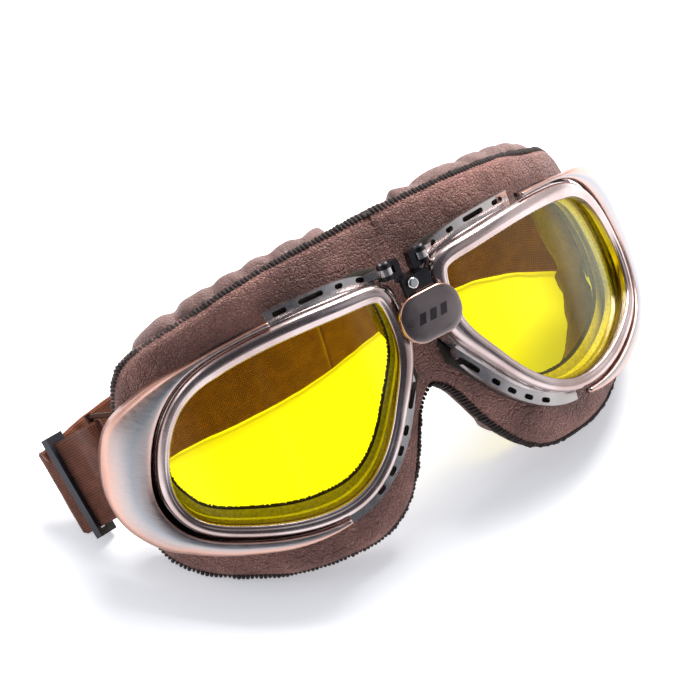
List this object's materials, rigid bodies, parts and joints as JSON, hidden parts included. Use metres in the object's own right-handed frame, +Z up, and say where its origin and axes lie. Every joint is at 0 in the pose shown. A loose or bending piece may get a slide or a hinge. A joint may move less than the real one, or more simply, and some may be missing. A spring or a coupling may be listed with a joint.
{
  "type": "motorcycle goggles",
  "caption": "Retro riding goggles: metal eye frames with curved yellow lenses and side covers, hinged at a bridge plate, on a padded leather mask with an elastic strap.",
  "frame": {"origin": "middle of the underside of the bounding box, on the surface the goggles lie on", "axes": "+X to the wearer's left eye, along the goggles' width; +Y back, from the lenses towards the strap; +Z up from the surface; the goggles lean back 37 degrees about X"},
  "size_m": [0.1908, 0.0874, 0.0798],
  "materials": {
    "frame_metal": "polished",
    "vent_metal": "polished",
    "cover_metal": "brushed",
    "plate_metal": "polished",
    "dark_metal": "satin",
    "steel": "polished",
    "lens_yellow": "gloss",
    "rubber_black": "matte",
    "gloss_black": "gloss",
    "leather_brown": "satin",
    "lining_leather": "matte",
    "webbing": "matte",
    "slider_plastic": "satin"
  },
  "bodies": {
    "bridge": {"bridge_bracket": "dark_metal", "bridge_cover": "plate_metal", "bridge_screw": "steel", "nose_leather": "leather_brown", "nose_cushion": "lining_leather", "rear_strap": "webbing", "left_hinge_pin": "steel", "right_hinge_pin": "steel"},
    "left_eye": {"left_rim": "frame_metal", "left_lens": "lens_yellow", "left_gasket": "rubber_black", "left_vent_frame": "vent_metal", "left_side_cover": "cover_metal", "left_channel_trim": "gloss_black", "left_leather": "leather_brown", "left_cushion": "lining_leather", "left_side_strap": "webbing", "left_strap_bar": "steel"},
    "right_eye": {"right_rim": "frame_metal", "right_lens": "lens_yellow", "right_gasket": "rubber_black", "right_vent_frame": "vent_metal", "right_side_cover": "cover_metal", "right_channel_trim": "gloss_black", "right_leather": "leather_brown", "right_cushion": "lining_leather", "right_side_strap": "webbing", "right_strap_bar": "steel"},
    "left_slider": {"left_slider": "slider_plastic"},
    "right_slider": {"right_slider": "slider_plastic"}
  },
  "joints": [
    {"name": "left_fold", "type": "hinge", "parent": "bridge", "child": "left_eye", "pos_m": [-0.006, -0.01752, 0.06108], "axis": [0, 0.6018, 0.7986], "range_deg": [-5, 8], "stiffness_Nm_per_rad": 0.2, "deforming": ["rear_strap"]},
    {"name": "right_fold", "type": "hinge", "parent": "bridge", "child": "right_eye", "pos_m": [0.006, -0.01752, 0.06108], "axis": [0, 0.6018, 0.7986], "range_deg": [-8, 5], "stiffness_Nm_per_rad": 0.2},
    {"name": "left_slide", "type": "slide", "parent": "left_eye", "child": "left_slider", "axis": [-0.4527, 0.5316, -0.7159], "range_m": [-0.005, 0.0004]},
    {"name": "right_slide", "type": "slide", "parent": "right_eye", "child": "right_slider", "axis": [0.4527, 0.5316, -0.7159], "range_m": [-0.005, 0.0004]}
  ]
}
